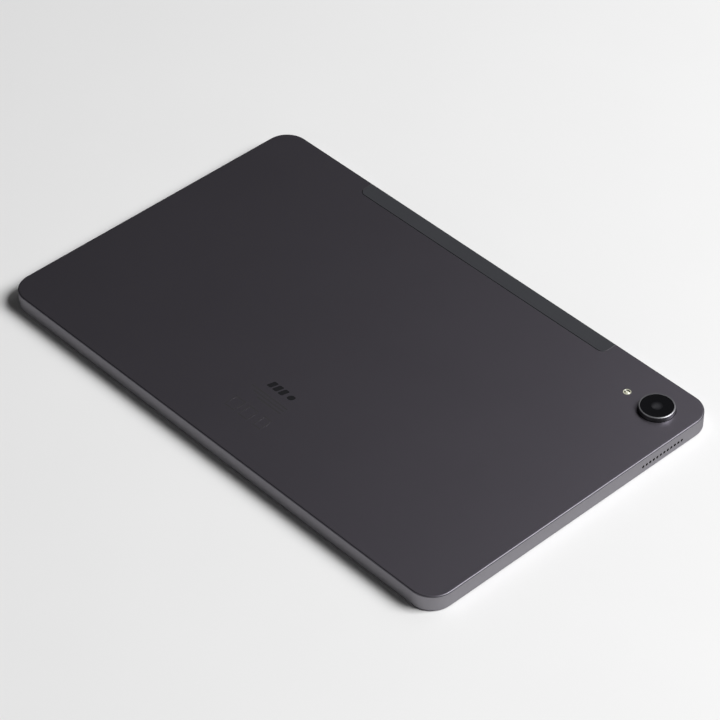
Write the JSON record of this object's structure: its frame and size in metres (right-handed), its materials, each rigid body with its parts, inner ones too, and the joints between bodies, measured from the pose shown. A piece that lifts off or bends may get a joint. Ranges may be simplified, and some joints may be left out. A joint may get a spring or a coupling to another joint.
{
  "type": "tablet computer",
  "caption": "Slim tablet computer with a metal back, a plastic antenna strip, a round raised camera with a flash beside it, edge speakers, side buttons, a USB-C port and a card tray.",
  "frame": {"origin": "centre of the tablet's outline, on the outer face of the screen glass, which it lies on", "axes": "+Z out of the back, +X along the long side towards the end with the camera, +Y along the short side towards the antenna strip and the buttons"},
  "size_m": [0.256, 0.1604, 0.0101],
  "materials": {
    "cover_metal": "fine bead-blasted and anodised, dark grey",
    "window_plastic": "satin, dark blue-grey",
    "black_plastic": "fine matt texture",
    "cover_glass": "polished, black printed border",
    "adhesive": "matt tape",
    "clear_film": "clear, glossy",
    "lcd_glass": "polished",
    "diffuser": "clear, frosted",
    "steel": "plain stamped sheet",
    "graphite": "soft sheen",
    "flex_film": "amber polyimide",
    "battery_foil": "laminated foil, satin black",
    "board": "solder mask",
    "chip": "moulded epoxy",
    "ceramic": "fired ceramic",
    "lens_glass": "coated, polished",
    "camera_ring": "black anodised, turned",
    "rubber": "foam",
    "flash_plastic": "clear, pale yellow",
    "phosphor": "yellow phosphor",
    "speaker_cone": "satin film",
    "magnet": "nickel plated",
    "mesh": "woven dust mesh",
    "gold": "gold plated",
    "cable": "smooth sheath"
  },
  "bodies": {
    "tablet": {"rear_cover": "cover_metal", "antenna_window": "window_plastic", "front_frame": "black_plastic", "cover_glass": "cover_glass", "display_adhesive": "adhesive", "touch_panel": "clear_film", "lcd_panel": "lcd_glass", "light_guide": "diffuser", "backlight_tray": "steel", "backlight_leds": "phosphor", "graphite_sheet": "graphite", "display_flex": "flex_film", "touch_flex": "flex_film", "battery_cell_left": "battery_foil", "battery_cell_right": "battery_foil", "battery_board": "board", "battery_lead": "flex_film", "battery_tapes": "adhesive", "main_board": "board", "processor_chip": "chip", "memory_chips": "chip", "shield_can_processor": "steel", "shield_can_radio": "steel", "board_connectors": "black_plastic", "board_passives": "ceramic", "camera_bezel": "camera_ring", "camera_glass": "lens_glass", "camera_gasket": "rubber", "rear_camera_housing": "black_plastic", "rear_camera_flex": "flex_film", "flash_lens": "flash_plastic", "flash_led": "phosphor", "front_camera": "black_plastic", "front_camera_flex": "flex_film", "speaker_right_box": "black_plastic", "speaker_left_box": "black_plastic", "speaker_magnets": "magnet", "speaker_meshes": "mesh", "usb_shell": "steel", "usb_tongue": "black_plastic", "usb_contacts": "gold", "sub_board": "board", "sub_board_flex": "flex_film", "card_reader": "steel", "card_contacts": "gold", "microphone": "steel", "key_flex": "flex_film", "key_bracket": "steel", "antenna_flexes": "flex_film", "antenna_cables": "cable", "screws": "steel"},
    "power_button": {"power_button": "cover_metal"},
    "volume_rocker": {"volume_rocker": "cover_metal"},
    "card_tray": {"card_tray": "cover_metal"},
    "eject_rod": {"eject_rod": "steel"},
    "eject_lever": {"eject_lever": "steel"},
    "lens_barrel": {"rear_camera_barrel": "black_plastic", "rear_camera_lens": "lens_glass"},
    "right_diaphragm": {"speaker_right_diaphragm": "speaker_cone"},
    "left_diaphragm": {"speaker_left_diaphragm": "speaker_cone"}
  },
  "joints": [
    {"name": "power_press", "type": "slide", "parent": "tablet", "child": "power_button", "axis": [0, -1, 0], "range_m": [0, 0.00025], "stiffness_N_per_m": 6000},
    {"name": "volume_rock", "type": "hinge", "parent": "tablet", "child": "volume_rocker", "pos_m": [0.088, 0.07822, 0.0043], "axis": [0, 0, 1], "range_deg": [-1.6, 1.6], "stiffness_Nm_per_rad": 0.6},
    {"name": "tray_slide", "type": "slide", "parent": "tablet", "child": "card_tray", "axis": [-1, 0, 0], "range_m": [0, 0.0165]},
    {"name": "eject_push", "type": "slide", "parent": "tablet", "child": "eject_rod", "axis": [1, 0, 0], "range_m": [0, 0.0018]},
    {"name": "eject_swing", "type": "hinge", "parent": "tablet", "child": "eject_lever", "pos_m": [-0.1064, -0.0314, 0.0044], "axis": [0, 0, 1], "range_deg": [0, 27.6]},
    {"name": "focus", "type": "slide", "parent": "tablet", "child": "lens_barrel", "axis": [0, 0, 1], "range_m": [0, 0.0003], "stiffness_N_per_m": 60},
    {"name": "right_cone", "type": "slide", "parent": "tablet", "child": "right_diaphragm", "axis": [0, 0, 1], "range_m": [-0.0003, 0.0003], "stiffness_N_per_m": 800},
    {"name": "left_cone", "type": "slide", "parent": "tablet", "child": "left_diaphragm", "axis": [0, 0, 1], "range_m": [-0.0003, 0.0003], "stiffness_N_per_m": 800}
  ],
  "couplings": [
    {"joint": "eject_swing", "follows": "eject_push", "rad_per_m": 266.52}
  ]
}
